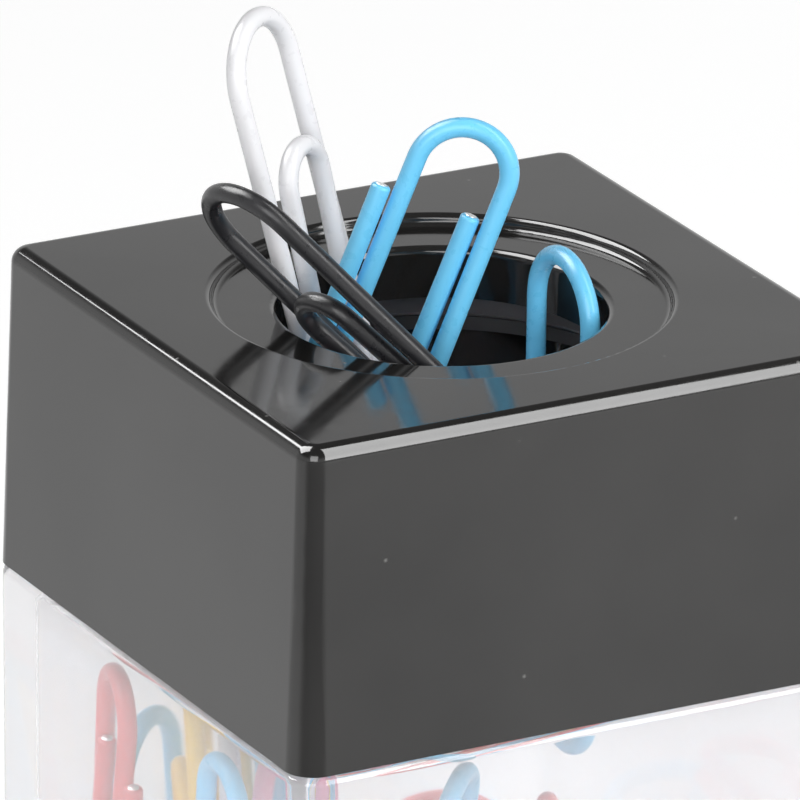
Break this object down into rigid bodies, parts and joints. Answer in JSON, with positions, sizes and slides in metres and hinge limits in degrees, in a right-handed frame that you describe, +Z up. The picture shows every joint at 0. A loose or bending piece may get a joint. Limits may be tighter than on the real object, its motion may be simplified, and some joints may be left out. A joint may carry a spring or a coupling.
{
  "type": "magnetic paper clip holder",
  "caption": "Square desk holder for paper clips: a clear box under a push-on lid whose round magnetic throat holds clips upright.",
  "frame": {"origin": "centre of the underside of the box's foot", "axes": "+Z up through the throat; X and Y along the square's sides"},
  "size_m": [0.041, 0.041, 0.0852],
  "materials": {
    "clear_plastic": "clear moulded polystyrene",
    "black_plastic": "high gloss",
    "ferrite": "ground ferrite",
    "retainer_plastic": "matte",
    "red_vinyl": "satin vinyl coat",
    "yellow_vinyl": "satin vinyl coat",
    "blue_vinyl": "satin vinyl coat",
    "white_vinyl": "satin vinyl coat",
    "pink_vinyl": "satin vinyl coat",
    "black_vinyl": "satin vinyl coat"
  },
  "bodies": {
    "box": {"clear_box": "clear_plastic", "loose_black_clip_01": "black_vinyl", "loose_blue_clip_01": "blue_vinyl", "loose_blue_clip_02": "blue_vinyl", "loose_blue_clip_03": "blue_vinyl", "loose_blue_clip_04": "blue_vinyl", "loose_blue_clip_05": "blue_vinyl", "loose_blue_clip_06": "blue_vinyl", "loose_blue_clip_07": "blue_vinyl", "loose_blue_clip_08": "blue_vinyl", "loose_pink_clip_01": "pink_vinyl", "loose_pink_clip_02": "pink_vinyl", "loose_pink_clip_03": "pink_vinyl", "loose_red_clip_01": "red_vinyl", "loose_red_clip_02": "red_vinyl", "loose_red_clip_03": "red_vinyl", "loose_red_clip_04": "red_vinyl", "loose_red_clip_05": "red_vinyl", "loose_red_clip_06": "red_vinyl", "loose_white_clip_01": "white_vinyl", "loose_white_clip_02": "white_vinyl", "loose_white_clip_03": "white_vinyl", "loose_yellow_clip_01": "yellow_vinyl", "loose_yellow_clip_02": "yellow_vinyl", "loose_yellow_clip_03": "yellow_vinyl", "loose_yellow_clip_04": "yellow_vinyl", "loose_yellow_clip_05": "yellow_vinyl", "loose_yellow_clip_06": "yellow_vinyl"},
    "lid": {"lid_shell": "black_plastic", "ring_magnet": "ferrite", "magnet_retainer": "retainer_plastic"},
    "white_clip": {"white_clip": "white_vinyl"},
    "black_clip": {"black_clip": "black_vinyl"},
    "blue_clip": {"blue_clip": "blue_vinyl"},
    "low_blue_clip": {"low_blue_clip": "blue_vinyl"}
  },
  "joints": [
    {"name": "lid_lift", "type": "slide", "parent": "box", "child": "lid", "axis": [0, 0, 1], "range_m": [0, 0.017]},
    {"name": "white_clip_pull", "type": "slide", "parent": "lid", "child": "white_clip", "axis": [-0.2316, 0.0757, 0.9699], "range_m": [0, 0.017]},
    {"name": "black_clip_pull", "type": "slide", "parent": "lid", "child": "black_clip", "axis": [-0.6062, 0.3758, 0.7009], "range_m": [0, 0.0235]},
    {"name": "blue_clip_pull", "type": "slide", "parent": "lid", "child": "blue_clip", "axis": [0.3501, -0.084, 0.933], "range_m": [0, 0.0225]},
    {"name": "low_blue_clip_pull", "type": "slide", "parent": "lid", "child": "low_blue_clip", "axis": [0, 0, 1], "range_m": [0, 0.01]}
  ]
}
